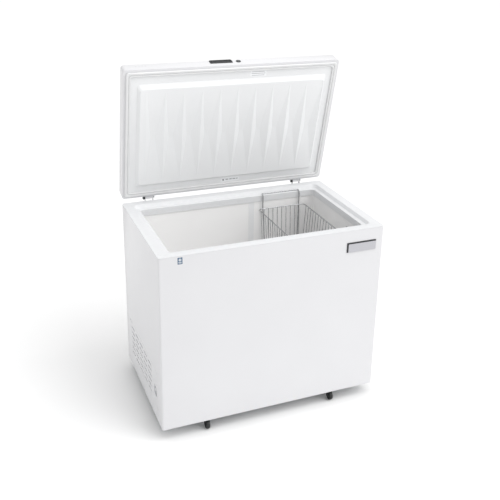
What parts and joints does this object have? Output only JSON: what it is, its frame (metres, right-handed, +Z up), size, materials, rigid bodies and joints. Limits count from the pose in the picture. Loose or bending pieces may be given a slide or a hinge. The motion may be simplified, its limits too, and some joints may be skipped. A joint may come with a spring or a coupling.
{
  "type": "chest freezer",
  "caption": "White chest freezer with a flat counterbalanced lid, sunken storage well with a step, hanging wire basket, slotted side panel and swivel casters.",
  "frame": {"origin": "centre of the whole object's bounding box, lid open, at the floor under the wheels", "axes": "+X to the right seen from the front, +Y to the back, +Z up"},
  "size_m": [0.94, 0.6496, 1.4064],
  "materials": {
    "white_enamel": "satin white baked enamel",
    "liner_enamel": "satin white coated sheet",
    "white_plastic": "moulded, satin",
    "black_plastic": "moulded, satin",
    "galvanised_steel": "zinc plated",
    "condenser_steel": "plain drawn tube",
    "lock_steel": "turned",
    "copper": "drawn copper tube",
    "compressor_black": "semi-gloss black paint",
    "foam": "rigid polyurethane foam",
    "gasket_vinyl": "soft vinyl",
    "black_rubber": "moulded rubber",
    "caster_wheel": "moulded nylon",
    "chromed_wire": "bright wire",
    "silver_plate": "silver lacquer"
  },
  "bodies": {
    "cabinet": {"outer_wrapper": "white_enamel", "base_plate": "galvanised_steel", "machine_bay_panel": "galvanised_steel", "cabinet_foam": "foam", "inner_liner": "liner_enamel", "breaker_frame": "white_plastic", "evaporator_coil": "copper", "condenser_coil": "condenser_steel", "compressor_grommet_1": "black_rubber", "compressor_grommet_2": "black_rubber", "compressor_grommet_3": "black_rubber", "compressor_grommet_4": "black_rubber", "compressor_plate": "galvanised_steel", "compressor_shell": "compressor_black", "relay_cover": "black_plastic", "filter_drier": "copper", "discharge_tube": "copper", "suction_tube": "copper", "machine_grille": "white_enamel", "dial_cup": "white_plastic", "thermostat_body": "galvanised_steel", "name_plate_back": "black_plastic", "name_plate_face": "silver_plate", "cord_grommet": "black_rubber", "drain_fitting": "white_plastic", "caster_plate_front_left": "galvanised_steel", "caster_plate_front_right": "galvanised_steel", "caster_plate_rear_left": "galvanised_steel", "caster_plate_rear_right": "galvanised_steel", "hinge_housing_left": "white_enamel", "hinge_housing_right": "white_enamel", "hinge_pin_left": "galvanised_steel", "hinge_pin_right": "galvanised_steel", "hinge_bush_left": "black_plastic", "hinge_bush_right": "black_plastic", "hinge_spring_left": "galvanised_steel", "hinge_spring_right": "galvanised_steel"},
    "lid": {"lid_shell": "white_enamel", "lid_foam": "foam", "lid_liner": "white_plastic", "lid_gasket": "gasket_vinyl", "lid_handle": "black_plastic", "lock_bezel": "black_plastic", "hinge_arm_left": "white_enamel", "hinge_arm_right": "white_enamel"},
    "lock": {"lock_barrel": "lock_steel", "lock_cam": "galvanised_steel"},
    "knob": {"thermostat_knob": "white_plastic"},
    "basket": {"basket_wires": "chromed_wire", "basket_hanger_front": "chromed_wire", "basket_hanger_back": "chromed_wire"},
    "drain_plug": {"drain_plug": "white_plastic"},
    "fork_front_left": {"caster_fork_front_left": "black_plastic"},
    "wheel_front_left": {"caster_wheel_front_left": "caster_wheel"},
    "fork_front_right": {"caster_fork_front_right": "black_plastic"},
    "wheel_front_right": {"caster_wheel_front_right": "caster_wheel"},
    "fork_rear_left": {"caster_fork_rear_left": "black_plastic"},
    "wheel_rear_left": {"caster_wheel_rear_left": "caster_wheel"},
    "fork_rear_right": {"caster_fork_rear_right": "black_plastic"},
    "wheel_rear_right": {"caster_wheel_rear_right": "caster_wheel"}
  },
  "joints": [
    {"name": "lid_hinge", "type": "hinge", "parent": "cabinet", "child": "lid", "pos_m": [0, 0.2756, 0.809], "axis": [-1, 0, 0], "range_deg": [-77, 6], "stiffness_Nm_per_rad": 5, "springref_deg": 34.38},
    {"name": "lock_turn", "type": "hinge", "parent": "lid", "child": "lock", "pos_m": [0.0165, 0.16911, 1.39917], "axis": [0, 0.225, -0.9744], "range_deg": [0, 90]},
    {"name": "thermostat_turn", "type": "hinge", "parent": "cabinet", "child": "knob", "pos_m": [-0.47, -0.2224, 0.175], "axis": [-1, 0, 0], "range_deg": [0, 270]},
    {"name": "basket_slide", "type": "slide", "parent": "cabinet", "child": "basket", "axis": [1, 0, 0], "range_m": [-0.5, 0.04]},
    {"name": "drain_plug_pull", "type": "slide", "parent": "cabinet", "child": "drain_plug", "axis": [0, 0, 1], "range_m": [0, 0.05]},
    {"name": "swivel_front_left", "type": "hinge", "parent": "cabinet", "child": "fork_front_left", "pos_m": [-0.279, -0.2884, 0.0457], "axis": [0, 0, 1], "continuous": true},
    {"name": "roll_front_left", "type": "hinge", "parent": "fork_front_left", "child": "wheel_front_left", "pos_m": [-0.279, -0.2994, 0.02], "axis": [1, 0, 0], "continuous": true},
    {"name": "swivel_front_right", "type": "hinge", "parent": "cabinet", "child": "fork_front_right", "pos_m": [0.279, -0.2884, 0.0457], "axis": [0, 0, 1], "continuous": true},
    {"name": "roll_front_right", "type": "hinge", "parent": "fork_front_right", "child": "wheel_front_right", "pos_m": [0.279, -0.2994, 0.02], "axis": [1, 0, 0], "continuous": true},
    {"name": "swivel_rear_left", "type": "hinge", "parent": "cabinet", "child": "fork_rear_left", "pos_m": [-0.279, 0.2356, 0.0457], "axis": [0, 0, 1], "continuous": true},
    {"name": "roll_rear_left", "type": "hinge", "parent": "fork_rear_left", "child": "wheel_rear_left", "pos_m": [-0.279, 0.2246, 0.02], "axis": [1, 0, 0], "continuous": true},
    {"name": "swivel_rear_right", "type": "hinge", "parent": "cabinet", "child": "fork_rear_right", "pos_m": [0.279, 0.2356, 0.0457], "axis": [0, 0, 1], "continuous": true},
    {"name": "roll_rear_right", "type": "hinge", "parent": "fork_rear_right", "child": "wheel_rear_right", "pos_m": [0.279, 0.2246, 0.02], "axis": [1, 0, 0], "continuous": true}
  ]
}
